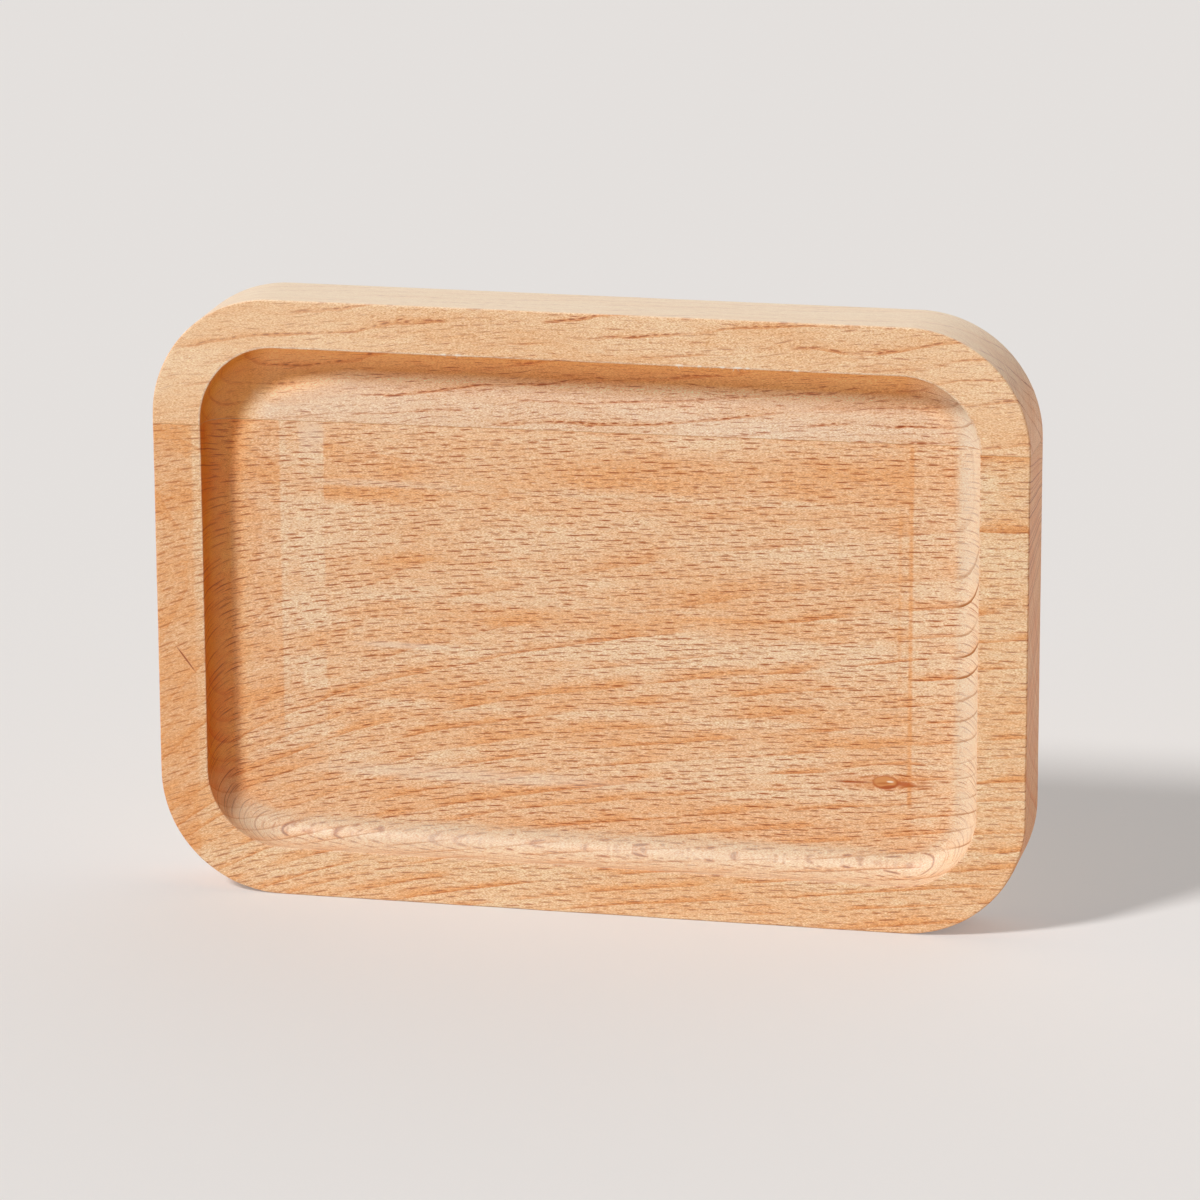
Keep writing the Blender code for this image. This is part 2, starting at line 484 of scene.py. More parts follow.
def ray_flecks(tree, colour, sweep, climb, late, ray, edge_colour, around, sheets, chained, scatter, seed):
    """The ends of the wood's rays: thin brown dashes along the grain, one to a cell of a brickwork of rows
    that climb more than the dashes do. sweep is the place, along the grain and across it. around is how tan
    the wood beside them is. Each of sheets is one size of ray: its cells' length and height, half its own
    length from the shortest to the longest and half its thickness, the share of cells that show one, and
    its depth of colour. chained is how much darker they are in late wood, and scatter how low and how high
    in its row a ray may lie. seed, and the whole numbers added to it, give each size its own throw of the
    dice."""
    across = add(tree, "SeparateXYZ", {}, {0: sweep})
    less_climb = {0: across.outputs["X"], 1: -climb, 2: across.outputs["Y"]}
    row_height = add(tree, "Math", TIMES_PLUS, less_climb)
    rowwise = add(tree, "CombineXYZ", {}, {"X": across.outputs["X"], "Y": row_height})
    for which, (long, apart, shortest, longest, thick, showing, depth) in enumerate(sheets):
        cells = add(
            tree, "VectorMath", TIMES_PLUS,
            {0: rowwise, 1: (1 / long, 1 / apart, 0), 2: (100 + seed + 17 * which, 200 + seed, 0)},
        )
        row = add(tree, "SeparateXYZ", {}, {0: add(tree, "VectorMath", {"operation": "FLOOR"}, {0: cells})})
        push = add(tree, "TexWhiteNoise", {"noise_dimensions": "1D"}, {"W": row.outputs["Y"]})
        pushed = add(tree, "CombineXYZ", {}, {"X": push.outputs["Value"]})
        brick = add(tree, "VectorMath", PLUS, {0: cells, 1: pushed})
        number = add(tree, "VectorMath", {"operation": "FLOOR"}, {0: brick})
        throw = add(tree, "TexWhiteNoise", {"noise_dimensions": "2D"}, {"Vector": number})
        lot = add(tree, "SeparateColor", {}, {0: throw.outputs["Color"]})
        second_throw = add(tree, "Math", TIMES, {0: lot.outputs[0], 1: 97})
        shown = add(tree, "Math", {"operation": "FRACT"}, {0: second_throw})
        edge = longest / long
        centre_x = add(tree, "MapRange", {}, {"Value": lot.outputs[0], "To Min": edge, "To Max": 1 - edge})
        centre_y = add(
            tree, "MapRange", {}, {"Value": lot.outputs[1], "To Min": scatter[0], "To Max": scatter[1]}
        )
        centre = add(tree, "CombineXYZ", {}, {"X": centre_x, "Y": centre_y})
        inside = add(tree, "VectorMath", {"operation": "FRACTION"}, {0: brick})
        offset = add(tree, "VectorMath", MINUS, {0: inside, 1: centre})
        in_mm = add(tree, "VectorMath", TIMES, {0: offset, 1: (long, apart, 0)})
        from_it = add(tree, "SeparateXYZ", {}, {0: in_mm})
        tilted = {0: from_it.outputs["X"], 1: climb, 2: from_it.outputs["Y"]}
        beside = add(tree, "Math", TIMES_PLUS, tilted)
        half_length = add(
            tree, "MapRange", {}, {"Value": lot.outputs[2], "To Min": shortest, "To Max": longest}
        )
        share_x = add(tree, "Math", {"operation": "DIVIDE"}, {0: from_it.outputs["X"], 1: half_length})
        share_y = add(tree, "Math", {"operation": "DIVIDE"}, {0: beside, 1: thick})
        lens_place = add(tree, "CombineXYZ", {}, {"X": share_x, "Y": share_y})
        out = add(tree, "VectorMath", LENGTH_OF, {0: lens_place})
        far_from_it = out.outputs["Value"]
        shape = add(
            tree, "MapRange", {}, {"Value": far_from_it, "From Min": FLECK[1], "From Max": FLECK[0]}
        )
        halo = {"Value": far_from_it, "From Min": HALO[1], "From Max": HALO[0], "To Max": around}
        rim = add(tree, "MapRange", {}, halo)
        strength = {"Value": shown, "From Min": 1 - showing, "To Min": depth / 2, "To Max": depth}
        drawn = add(tree, "MapRange", {}, strength)
        chosen = add(tree, "Math", {"operation": "GREATER_THAN"}, {0: shown, 1: 1 - showing})
        chain = add(
            tree, "MapRange", {}, {"Value": late, "From Max": 0.6, "To Min": 1 - chained, "To Max": 1}
        )
        weight = all_of(tree, drawn, chosen, chain)
        core = add(tree, "Math", {"operation": "POWER"}, {0: weight, 1: DEEPEN})
        fleck = all_of(tree, shape, core)
        tanned = all_of(tree, rim, weight)
        colour = tint(tree, tanned, colour, edge_colour)
        colour = tint(tree, fleck, colour, ray)
    return colour


def past_lip(tree, place):
    """How far inside the pocket's lip a place lies, in mm, as seen from the front."""
    centred = add(tree, "VectorMath", MINUS, {0: place, 1: (0, 0, HEIGHT / 2 / MM)})
    folded = add(tree, "VectorMath", {"operation": "ABSOLUTE"}, {0: centred})
    straight_x = (LENGTH / 2 - RIM - POCKET_CORNER) / MM
    straight_z = (HEIGHT / 2 - RIM - POCKET_CORNER) / MM
    past = add(tree, "VectorMath", MINUS, {0: folded, 1: (straight_x, 0, straight_z)})
    flat = add(tree, "VectorMath", TIMES, {0: past, 1: (1, 0, 1)})
    beyond = add(tree, "VectorMath", LARGER, {0: flat, 1: (0, 0, 0)})
    out = add(tree, "VectorMath", LENGTH_OF, {0: beyond})
    parts = add(tree, "SeparateXYZ", {}, {0: past})
    nearer = add(tree, "Math", LARGER, {0: parts.outputs["X"], 1: parts.outputs["Z"]})
    deep_in = add(tree, "Math", {"operation": "MINIMUM"}, {0: nearer, 1: 0})
    reach = add(tree, "Math", PLUS, {0: out.outputs["Value"], 1: deep_in})
    return add(tree, "Math", MINUS, {0: POCKET_CORNER / MM, 1: reach})


# Steamed beech's patterns, as lengths along the grain and thicknesses across it in mm. Patches and mottling
# are at their real sizes. The fibres of beech are 0.02 mm across, so threads and fibres are drawn coarser,
# to show at all.
SLOW_ACROSS = 22
QUICK = (16, 4)
PATCH = (60, 9)
MOTTLE = (5, 1.1)
THREAD = (1.5, 0.17)
FIBRE = (0.5, 0.1)

# How strongly each shows: mottling, threads and year lines as shares of the way from pale wood to tan, and
# what the dark and the light side of a fibre do to the colour
MOTTLE_TONE = 0.42
THREAD_TONE = 0.7
LINE_SHARE = 0.42
FIBRE_DARK = (0.78, 0.57, 0.36, 1)
FIBRE_LIGHT = (1.22, 1.44, 1.68, 1)

# The droop of the grain at the left end fades over DROOP_RUN, and changes from low on the board to high on
# it between DROOP_HEIGHTS. The rays fade between the two places of RAYS_FADE.
DROOP_RUN = 35
DROOP_HEIGHTS = (60, 110)
RAYS_FADE = (-72, -90)

# Rays that catch the light instead of looking dark, as one size of ray, and their colour. Then where in a
# row a ray may lie, how far the finer sanding of the rim fades its rays, and how near to a level a place of
# it lies, in mm.
GLINT = (1.9, 0.45, 0.25, 0.7, 0.1, 0.6, 0.35)
GLINT_COLOUR = "#FCEBD6"
ROW_SCATTER = (0.3, 0.7)
BEAD_SCATTER = (0.88, 0.93)
SANDED_RIM = 0.25
FLAT_WITHIN = 0.2


def steamed_beech(
    name, colours, pith, years, late_from, waves, ray_climb, sheets, beads, chained, seed, left_end
):
    """Steamed beech, planed, milled and sanded, with a thin coat of oil: a fine pinkish tan wood with faint
    growth rings and short brown ray flecks along the grain. Lengths in mm. colours are its pale wood, its
    tan wood, the lines of its late wood and its rays, and waves are how far the grain strays slowly and
    quickly, and over what length slowly. sheets are its rays and beads those strung along the ends of its
    years. left_end is how far the grain droops there, low on the board and high, and how far its rays fade.
    Two nodes are left open by name for what happened to one board: flow shifts its grain, and marks adds to
    its tone, from 0, pale, to 1, tan."""
    pale, tan, late_wood, ray = [from_hex(colour) for colour in colours]
    wood, tree, _ = new_material(name)
    spot = add(tree, "TexCoord", {}, {})
    place = add(tree, "VectorMath", {"operation": "SCALE"}, {0: spot.outputs["Object"], "Scale": 1 / MM})
    place.name = "place"

    # The grain strays from a straight line, slowly by a few millimetres and quickly by less than one
    slow, quick, slow_length = waves
    slow_scale = (1 / slow_length, 1 / SLOW_ACROSS, 1 / SLOW_ACROSS)
    far = add(tree, "Mapping", {}, {"Vector": place, "Location": (seed, 0, 0), "Scale": slow_scale})
    wander = add(tree, "TexNoise", {}, {"Vector": far, "Scale": 1, "Detail": 2})
    along = add(tree, "SeparateXYZ", {}, {0: place})
    from_end = {0: along.outputs["X"], 1: -1 / DROOP_RUN, 2: LEFT_END / DROOP_RUN}
    to_end = add(tree, "Math", TIMES_PLUS, from_end)
    curving = add(tree, "Math", {"operation": "EXPONENT"}, {0: to_end})
    low, high = DROOP_HEIGHTS
    low_droop, high_droop, rays_faded = left_end
    reach = {
        "Value": along.outputs["Z"], "From Min": low, "From Max": high, "To Min": low_droop,
        "To Max": high_droop,
    }
    drooping = add(tree, "MapRange", {}, reach)
    drop = add(tree, "Math", TIMES, {0: curving, 1: drooping})
    lowered = add(tree, "CombineXYZ", {}, {"Z": drop})
    flow = add(tree, "VectorMath", PLUS, {0: lowered, 1: (0, 0, 0)})
    flow.name = "flow"
    flowing = add(tree, "VectorMath", PLUS, {0: place, 1: flow})
    quick_scale = (1 / QUICK[0], 1 / QUICK[1], 1 / QUICK[1])
    near = add(tree, "Mapping", {}, {"Vector": place, "Location": (seed, 0, 0), "Scale": quick_scale})
    wobble = add(tree, "TexNoise", {}, {"Vector": near, "Scale": 1, "Detail": 2})
    middle = -(slow + quick) / 2
    by_slow = {0: wander.outputs["Color"], 1: (0, slow, slow), 2: flowing}
    strayed = add(tree, "VectorMath", TIMES_PLUS, by_slow)
    by_quick = {0: wobble.outputs["Color"], 1: (0, quick, quick), 2: strayed}
    shaken = add(tree, "VectorMath", TIMES_PLUS, by_quick)
    grain = add(tree, "VectorMath", PLUS, {0: shaken, 1: (0, middle, middle)})
    at = add(tree, "SeparateXYZ", {}, {0: grain})
    late, line, year, dark, above = growth_rings(tree, at, pith, years, late_from)

    # Paler and browner patches, drawn out along the grain, large and small, and the late wood's tan
    patches = drawn_out(tree, grain, PATCH, 4, 0.65)
    patches.name = "patches"
    to_tone = {"Value": patches, "From Min": 0.3, "From Max": 0.7, "To Min": -0.1, "To Max": 0.75}
    tone = add(tree, "MapRange", {}, to_tone)
    for size, shows in ((MOTTLE, MOTTLE_TONE), (THREAD, THREAD_TONE)):
        finer = drawn_out(tree, grain, size, 1, 0.6)
        centred = add(tree, "Math", TIMES_PLUS, {0: finer, 1: shows, 2: -shows / 2})
        tone = add(tree, "Math", PLUS, {0: tone, 1: centred})
    ringed = add(tree, "Math", PLUS, {0: tone, 1: late})
    tone = add(tree, "Math", {"operation": "ADD", "use_clamp": True}, {0: ringed, 1: 0})
    tone.name = "marks"
    ground = tint(tree, tone, pale, tan)
    line_share = all_of(tree, line, LINE_SHARE)
    lined = tint(tree, line_share, ground, late_wood)

    # Fibres: fine streaks along the grain
    fibres = drawn_out(tree, grain, FIBRE, 1)
    fibres.name = "fibres"
    raised = add(tree, "MapRange", {}, {"Value": fibres, "From Min": 0.3, "From Max": 0.7})
    streak = tint(tree, raised, FIBRE_DARK, FIBRE_LIGHT)
    fibred = tint(tree, 1, lined, streak, "MULTIPLY")

    # Rays are thin sheets that run out from the pith, so the flecks' pattern is drawn over length and
    # bearing, and a fleck goes on down the side of a cut. They climb less along the board than its rings do
    climb = pith[1] - ray_climb
    lean = add(tree, "Math", TIMES_PLUS, {0: at.outputs["X"], 1: climb, 2: above})
    straight_behind = add(tree, "Math", MINUS, {0: pith[2], 1: at.outputs["Y"]})
    bearing = add(tree, "Math", {"operation": "DIVIDE"}, {0: lean, 1: straight_behind})
    swept = add(tree, "Math", TIMES, {0: bearing, 1: pith[2]})
    sweep = add(tree, "CombineXYZ", {}, {"X": at.outputs["X"], "Y": swept})
    glint = from_hex(GLINT_COLOUR)
    glinting = ray_flecks(
        tree, fibred, sweep, climb, late, glint, glint, 0, (GLINT,), 0, ROW_SCATTER, seed + 5
    )
    flecked = ray_flecks(
        tree, glinting, sweep, climb, late, ray, late_wood, 1, sheets, chained, ROW_SCATTER, seed
    )

    # Beech has more of its rays where a year's growth ends, and where rings lie flat they trace its outline
    # as beads
    if beads:
        in_years = add(tree, "Math", TIMES, {0: year, 1: beads[0][1]})
        ringwise = add(tree, "CombineXYZ", {}, {"X": at.outputs["X"], "Y": in_years})
        flecked = ray_flecks(
            tree, flecked, ringwise, 0, dark, ray, late_wood, 1, beads, 1, BEAD_SCATTER, seed + 9
        )

    # The rays are fainter at the left end, and on the rim, which was sanded finer than the pocket
    leftward = {
        "Value": at.outputs["X"], "From Min": RAYS_FADE[0], "From Max": RAYS_FADE[1], "To Max": rays_faded,
    }
    to_left = add(tree, "MapRange", {}, leftward)
    on_rim = add(tree, "Math", {"operation": "COMPARE"}, {0: along.outputs["Y"], 1: FACE_Y, 2: FLAT_WITHIN})
    sanded = all_of(tree, on_rim, SANDED_RIM)
    fainter = add(tree, "Math", LARGER, {0: to_left, 1: sanded})
    return wood, tint(tree, fainter, flecked, glinting)


def ramp(tree, value, span, stops):
    """A colour that changes with a value: stops are values from 0 to a span, each with a hex colour."""
    share = add(tree, "Math", {"operation": "DIVIDE"}, {0: value, 1: span})
    made = add(tree, "ValToRGB", {}, {0: share})
    for count, (reached, colour) in enumerate(stops):
        elements = made.color_ramp.elements
        stop = elements[0] if count == 0 else elements.new(reached / span)
        stop.position = reached / span
        stop.color = from_hex(colour)
    made.color_ramp.elements[-1].color = from_hex(stops[-1][1])
    return made


# The colours laid on the wood: a painted sheen on the faces that turn up into the light, the pale
# greyish fuzz of the bottom and right coves, partly fibres that the cutter left standing and partly a
# painted sheen where those coves face the lamp, and the brown of their rings that stand out. The tint
# below is how greyish the fuzz and its painted sheen make the wood.
PAINTED_TOP_SHEEN = "#FFEDD2"
FUZZ_AND_SHEEN = "#EBDCC4"
FUZZ_AND_SHEEN_TINT = (0.97, 1.045, 1.1, 1)
RING_BROWN = "#A86830"

# Painted shade: the warm gold of the coves in the lamp's shade, left and top, from the pocket's lip
# inward: mm, and the colour that the wood's own is multiplied by. The lift brightens both, so #EBEBEB
# leaves the wood as it is and what is paler brightens it, a painted lift of the shadow's grey edge. In
# the corner between them the painted shade is wider by the inverse of the corner share, as the shadow
# reaches further there.
LEFT_PAINTED_SHADE = (
    (0, "#D39A3F"), (2.5, "#EAB563"), (4.5, "#F3C479"), (6.5, "#F4E6CE"), (8.5, "#EDEDE8"),
    (10.5, "#EBEBEB"),
)
TOP_PAINTED_SHADE = (
    (0, "#FBD59C"), (2, "#FBD59C"), (4, "#F7CE93"), (6, "#ECC183"), (8, "#FFF3E0"), (10, "#EBE3DE"),
    (12.5, "#EBEBEB"),
)
PAINTED_SHADE_SPAN = 15
PAINTED_SHADE_LIFT = (1.2, 1.2, 1.2, 1)
PAINTED_SHADE_IN_CORNER = 0.52

# Where the painted shade and the pale fuzz and sheen of each cove set in and where they are whole, along
# the board (X) or up it (Z), in mm, and how strong they then are
SETS_IN = {
    "left": ("X", -79, -85, 1), "above the bottom": ("Z", 17, 31, 1), "top": ("Z", 120, 126, 1),
    "short of the right": ("X", 91, 76, 1), "along the corner": ("X", -60, -83, 1),
    "up the corner": ("Z", 103, 125, 1), "bottom": ("Z", 26, 19, 0.7), "right": ("X", 83, 91, 0.85),
}

# A thin coat of oil leaves a low gloss, and fibres that can just be felt
OILED_ROUGHNESS = 0.45
FIBRE_RELIEF = 0.1 * MM


def oil_with_painted_light(wood, colour, rim_tint, end_tint):
    """Finishes the wood, whose colour so far is an output in its tree: a thin coat of oil, taken up
    unevenly, with a painted sheen on the faces that turn up, painted shade in the top and left coves, and
    pale fuzz with a painted sheen in the bottom and right ones. rim_tint is what it does to the wood
    outside the pocket, and end_tint to the end grain."""
    tree = wood.node_tree
    shader = tree.nodes["Principled BSDF"]
    place = tree.nodes["place"]
    spot = add(tree, "SeparateXYZ", {}, {0: place})
    x, y = spot.outputs["X"], spot.outputs["Y"]
    turned_to = add(tree, "SeparateXYZ", {}, {0: add(tree, "TexCoord", {}, {}).outputs["Normal"]})

    # End grain drinks more of the oil and dries darker; the faces that turn up get a painted sheen
    inset = past_lip(tree, place)
    past = add(tree, "MapRange", {}, {"Value": inset, "From Min": -0.6, "From Max": -0.4})
    before_floor = {"Value": y, "From Min": FLOOR_Y + 2, "From Max": FLOOR_Y + 1}
    not_behind = add(tree, "MapRange", {}, before_floor)
    inside = all_of(tree, past, not_behind)
    outside = add(tree, "Math", MINUS, {0: 1, 1: inside})
    endwise = add(tree, "Math", {"operation": "ABSOLUTE"}, {0: turned_to.outputs["X"]})
    end_grain = add(tree, "MapRange", {}, {"Value": endwise, "From Min": 0.3, "To Max": 0.85})
    outer_end = all_of(tree, end_grain, outside)
    handled = tint(tree, outside, colour, (*rim_tint, 1), "MULTIPLY")
    soaked = tint(tree, outer_end, handled, (*end_tint, 1), "MULTIPLY")
    upward = add(tree, "MapRange", {}, {"Value": turned_to.outputs["Z"], "From Min": 0.4, "To Max": 0.65})
    outer_top = all_of(tree, upward, outside)
    top_sheened = tint(tree, outer_top, soaked, from_hex(PAINTED_TOP_SHEEN))

    near = {}
    for which, (axis, start, whole, most) in SETS_IN.items():
        to_whole = {"Value": spot.outputs[axis], "From Min": start, "From Max": whole, "To Max": most}
        near[which] = add(tree, "MapRange", {}, to_whole)

    # Painted shade: the top and left coves, in the lamp's shade, are painted a deep warm gold, deepest at
    # the lip and widest in the corner, where the shadow reaches furthest
    milled = band(tree, y, FACE_Y + 0.15, FLOOR_Y + 0.5, 0.1)
    on_left = all_of(tree, near["left"], near["above the bottom"])
    on_top = all_of(tree, near["top"], near["short of the right"])
    lamp_shaded = add(tree, "Math", LARGER, {0: on_left, 1: on_top})
    painted_shade_share = all_of(tree, milled, inside, lamp_shaded)
    corner = all_of(tree, near["along the corner"], near["up the corner"])
    narrowed = add(tree, "MapRange", {}, {"Value": corner, "To Min": 1, "To Max": PAINTED_SHADE_IN_CORNER})
    shade_reach = add(tree, "Math", TIMES, {0: inset, 1: narrowed})
    top_shade_colour = ramp(tree, shade_reach, PAINTED_SHADE_SPAN, TOP_PAINTED_SHADE)
    left_shade_colour = ramp(tree, shade_reach, PAINTED_SHADE_SPAN, LEFT_PAINTED_SHADE)
    shade_colour = tint(tree, on_left, top_shade_colour, left_shade_colour)
    lifted_shade = tint(tree, 1, shade_colour, PAINTED_SHADE_LIFT, "MULTIPLY")
    shade_painted = tint(tree, painted_shade_share, top_sheened, lifted_shade, "MULTIPLY")

    # The bottom and right coves are pale and greyish: partly fibres that the cutter roughened, partly a
    # painted sheen where they face the lamp
    cove = band(tree, inset, -0.5, COVE / MM + 0.5, 3)
    on_cove = all_of(tree, milled, cove)
    fuzz_and_sheen_coves = add(tree, "Math", LARGER, {0: near["bottom"], 1: near["right"]})
    outside_lamp_shade = add(tree, "Math", MINUS, {0: 1, 1: lamp_shaded})
    fuzz_and_sheen_place = all_of(tree, fuzz_and_sheen_coves, outside_lamp_shade)
    speckle = {
        "Value": tree.nodes["fibres"], "From Min": 0.35, "From Max": 0.65, "To Min": 0.6, "To Max": 1.4,
    }
    speckles = add(tree, "MapRange", {}, speckle)
    drifts = {
        "Value": tree.nodes["patches"], "From Min": 0.35, "From Max": 0.65, "To Min": 0.5, "To Max": 1.4,
    }
    drifting = add(tree, "MapRange", {}, drifts)
    pale_share = all_of(tree, fuzz_and_sheen_place, speckles, drifting, on_cove)
    fuzz_and_sheen_half = all_of(tree, pale_share, 0.5)
    softened = tint(tree, fuzz_and_sheen_half, shade_painted, from_hex(FUZZ_AND_SHEEN))
    fuzz_and_sheen_tinted = tint(tree, pale_share, softened, FUZZ_AND_SHEEN_TINT, "MULTIPLY")

    # The rings show through the fuzz and painted sheen, most on the right, where the cutter crossed them as
    # ribs of end grain
    to_right = {"Value": x, "From Min": 82, "From Max": 88, "To Min": 0.5, "To Max": 1.3}
    ribbed = add(tree, "MapRange", {}, to_right)
    kept_rings = all_of(tree, on_cove, tree.nodes["year ends"], fuzz_and_sheen_place, ribbed)
    finished = tint(tree, kept_rings, fuzz_and_sheen_tinted, from_hex(RING_BROWN))
    tree.links.new(finished, shader.inputs["Base Color"])
    shader.inputs["Roughness"].default_value = OILED_ROUGHNESS
    felt = {"Height": tree.nodes["fibres"], "Strength": 0.12, "Distance": FIBRE_RELIEF}
    relief = add(tree, "Bump", {}, felt)
    tree.links.new(relief.outputs["Normal"], shader.inputs["Normal"])


# In mm, past both faces of the board
THROUGH_THE_BOARD = 1000


def oval(tree, x, z, half_long, half_tall, lean, blur):
    """1 within an ellipse as seen from the front and 0 outside it: sizes in mm, lean in degrees."""
    about = add(
        tree, "Mapping", {"vector_type": "TEXTURE"},
        {"Vector": tree.nodes["place"], "Location": (x, 0, z), "Rotation": (0, -math.radians(lean), 0),
         "Scale": (half_long, THROUGH_THE_BOARD, half_tall)},
    )
    out = add(tree, "VectorMath", LENGTH_OF, {0: about})
    return add(
        tree, "MapRange", SMOOTH,
        {"Value": out.outputs["Value"], "From Min": 1 + blur / 2, "From Max": 1 - blur / 2},
    )


def blemish(tree, colour, places):
    """Stains the wood in places of its front: each is x, z, half length and half height in mm, lean, blur,
    colour and depth."""
    spot = add(tree, "SeparateXYZ", {}, {0: tree.nodes["place"]})
    before_floor = {"Value": spot.outputs["Y"], "From Min": FLOOR_Y + 3, "From Max": FLOOR_Y + 1}
    front = add(tree, "MapRange", {}, before_floor)
    for x, z, half_long, half_tall, lean, blur, stain, depth in places:
        there = oval(tree, x, z, half_long, half_tall, lean, blur)
        colour = tint(tree, all_of(tree, there, front, depth), colour, from_hex(stain))
    return colour


joint_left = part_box("upper_stave")[0].z
joint_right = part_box("glue_line")[1].z
film = joint_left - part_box("glue_line")[0].z

# The stave's growth rings, each its outer radius in mm and how dark its late wood is
upper_years = (
    (90, 0), (94, 0.5), (98, 0.4), (101.5, 0.6), (105, 0.4), (108, 0.5), (111.5, 0.6), (115, 0.5),
    (118.5, 0.4), (122, 0.6), (125.5, 0.5), (129, 0.6), (132.5, 0.4), (136, 0.5), (139.5, 0.5), (143, 0.5),
    (147, 0.5), (151, 0.5),
)

# The smallest of the rays, which are alike in both staves
FINE_RAYS = (1.5, 0.4, 0.2, 0.5, 0.08, 0.6, 0.25)

# Steamed beech, flat-sawn: pale and even to the eye, with rows of small brown beads along its rings
upper_beech, upper_colour = steamed_beech(
    "steamed_beech_flat_sawn", ("#F3D6B6", "#E9B481", "#C56A28", "#8E3C08"),
    pith=(226, 0.085, 85, 0), years=upper_years, late_from=4, waves=(5.5, 1.4, 42), ray_climb=0.05,
    sheets=((4.6, 1.6, 0.7, 1.95, 0.11, 0.52, 1), (2.6, 0.95, 0.35, 1, 0.095, 0.45, 0.6), FINE_RAYS),
    beads=((2.7, 3.5, 0.45, 1.25, 0.1, 0.8, 1.1),), chained=0.4, seed=3, left_end=(5, 5, 0.45),
)

# Short grain has broken out here and there along the pocket's top lip, and left pale places on the rim
# above it: each chip is where it lies and half its length in mm. The patches that follow are two paler
# places of the rim, at its top left and top right, as blemishes.
LIP_Z = (HEIGHT - RIM) / MM
CHIPS = ((23, 0.9), (28, 0.5), (33.5, 0.6), (37.2, 1), (39.6, 0.5), (51.3, 0.7), (-34.6, 0.6), (-31, 0.8))
chipped = [(x, LIP_Z + 0.35, half_long, 0.3, 0, 1, "#FFF6E8", 0.7) for x, half_long in CHIPS]
RIM_PALE_PATCHES = ((-82, 138, 36, 22, 0, 1.2, "#FFE6C8", 0.2), (97, 136, 16, 18, 0, 1.2, "#FFE6C8", 0.08))
upper_colour = blemish(upper_beech.node_tree, upper_colour, [*RIM_PALE_PATCHES, *chipped])
oil_with_painted_light(upper_beech, upper_colour, (1.05, 0.967, 0.84), (1, 0.78, 0.62))
upper_mesh = milled_board()
saw(upper_mesh, joint_left, joint_right, keep=1)
show("upper_stave_wood", upper_mesh, upper_beech, "upper_stave")

# The torn fibres: where the cutter broke out short grain along the pocket's top lip, a few pale slivers of
# the stave still hang from it by their roots. They are bare wood, missed by the oil.
SLIVER_STREAKS = (9000, 4000, 1500)
BARE_DARK = "#EBD3B4"
BARE_LIGHT = "#FFFAF0"

# Bare torn beech: dry fibre without oil, matt and nearly white
bare_beech, bare_tree, bare_shader = new_material("bare_torn_beech")
bare_spot = add(bare_tree, "TexCoord", {}, {}).outputs["Object"]
bare_streaks = add(bare_tree, "Mapping", {}, {"Vector": bare_spot, "Scale": SLIVER_STREAKS})
bare_fibre = add(bare_tree, "TexNoise", {}, {"Vector": bare_streaks, "Scale": 1, "Detail": 1})
bare_colour = tint(bare_tree, bare_fibre, from_hex(BARE_DARK), from_hex(BARE_LIGHT))
bare_tree.links.new(bare_colour, bare_shader.inputs["Base Color"])
bare_shader.inputs["Roughness"].default_value = 0.7

# Each sliver: where its root is along the lip, how far it hangs and sways, and its thickness there, in mm
SLIVERS = (
    (22.7, 0.9, 0.5, 0.16), (23.9, 0.6, -0.4, 0.12), (27.4, 0.6, 0.9, 0.12), (29.1, 0.5, 0.8, 0.1),
    (30.6, 0.7, -0.6, 0.12), (33.3, 0.5, 0.5, 0.1), (36.2, 1, -0.4, 0.17), (37.1, 0.8, 0.5, 0.12),
    (38.5, 0.6, 0.7, 0.12), (40.2, 0.4, 0.6, 0.1), (51.2, 0.7, 0.9, 0.13), (-34.4, 0.5, 0.5, 0.11),
    (-31.2, 0.7, -0.5, 0.12),
)
SLIVER_JOINTS = 6
ROOT_BEHIND_FACE = 0.35
TIP_FURTHER_IN = 0.35
ROOT_ABOVE_LIP = 0.1
TIP_GIRTH = 0.015
FLATNESS = 0.6
fuzz = bmesh.new()
for root, hang, sway, thick in SLIVERS:
    rings = []
    for k in range(SLIVER_JOINTS):
        share = k / (SLIVER_JOINTS - 1)
        depth = FACE_Y + ROOT_BEHIND_FACE + TIP_FURTHER_IN * share
        middle = Vector((root + sway * share**1.6, depth, LIP_Z + ROOT_ABOVE_LIP - hang * share))
        girth = thick * (1 - share) + TIP_GIRTH
        corners = [Vector((math.cos(t), FLATNESS * math.sin(t), 0)) * girth for t in (0, 2.1, 4.2)]
        rings.append([fuzz.verts.new((middle + corner) * MM) for corner in corners])
    for upper, lower in zip(rings, rings[1:]):
        for i in range(3):
            j = (i + 1) % 3
            fuzz.faces.new((upper[i], upper[j], lower[j], lower[i]))
    fuzz.faces.new(rings[0])
    fuzz.faces.new(rings[-1])
bmesh.ops.recalc_face_normals(fuzz, faces=fuzz.faces)
show("torn_fibres", fuzz, bare_beech, None)

# The lower stave: the wide, pinker length of beech below the joint, sawn nearer the pith, so that its
# growth rings show as arcs on the face and its rays as rows of dark dashes. It was glued and milled
# together with the upper one.
lower_years = (
    (45, 0), (48, 0.2), (51, 0.25), (54, 0.2), (57, 0.25), (60.5, 0.3), (64.8, 0.4), (68, 0.8), (71.5, 0.5),
    (74.8, 1), (78.2, 0.9), (82, 0.6), (85.3, 0.7), (89, 0.6), (93, 0.9), (96, 0.7), (100.5, 0.8),
    (104, 0.7), (107, 0.6), (110.5, 0.7), (114, 0.9), (117.3, 0.7), (120.5, 0.8), (124, 0.7), (128, 0.7),
    (132, 0.6), (136, 0.6),
)

